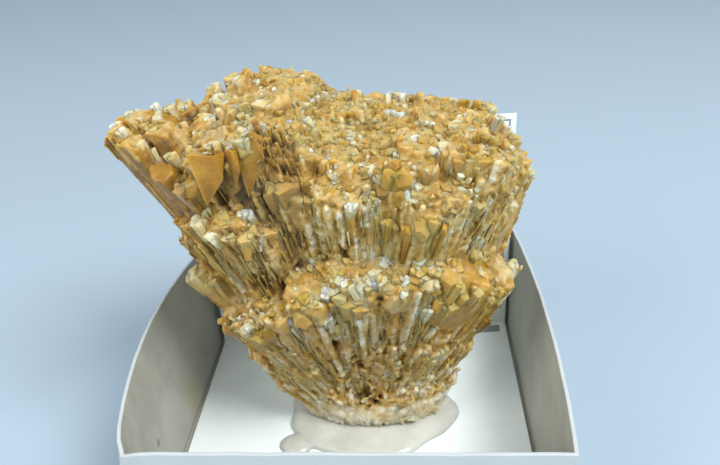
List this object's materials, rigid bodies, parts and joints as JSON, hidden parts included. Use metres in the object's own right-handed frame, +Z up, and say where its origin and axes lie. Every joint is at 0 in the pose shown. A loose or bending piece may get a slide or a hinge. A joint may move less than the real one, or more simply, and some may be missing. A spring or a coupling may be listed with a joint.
{
  "type": "aragonite specimen in a card tray",
  "caption": "Fan-shaped honey aragonite with stacked crystal ledges, glued upright on a folded white card in a small open card tray.",
  "frame": {"origin": "middle of the tray's underside, between its straight front and back walls and its two floor edges", "axes": "+Z up, away from the surface the tray stands on; -Y towards the front of the specimen; +X to the right seen from the front"},
  "size_m": [0.0672, 0.0612, 0.0646],
  "materials": {
    "aragonite": "sugary, honey to cream",
    "hot_melt_glue": "milky gloss",
    "white_card": "matt",
    "chipboard": "matt, grey inside and white outside"
  },
  "bodies": {
    "root": {"aragonite": "aragonite", "glue": "hot_melt_glue", "label_card": "white_card", "tray": "chipboard"}
  },
  "joints": []
}
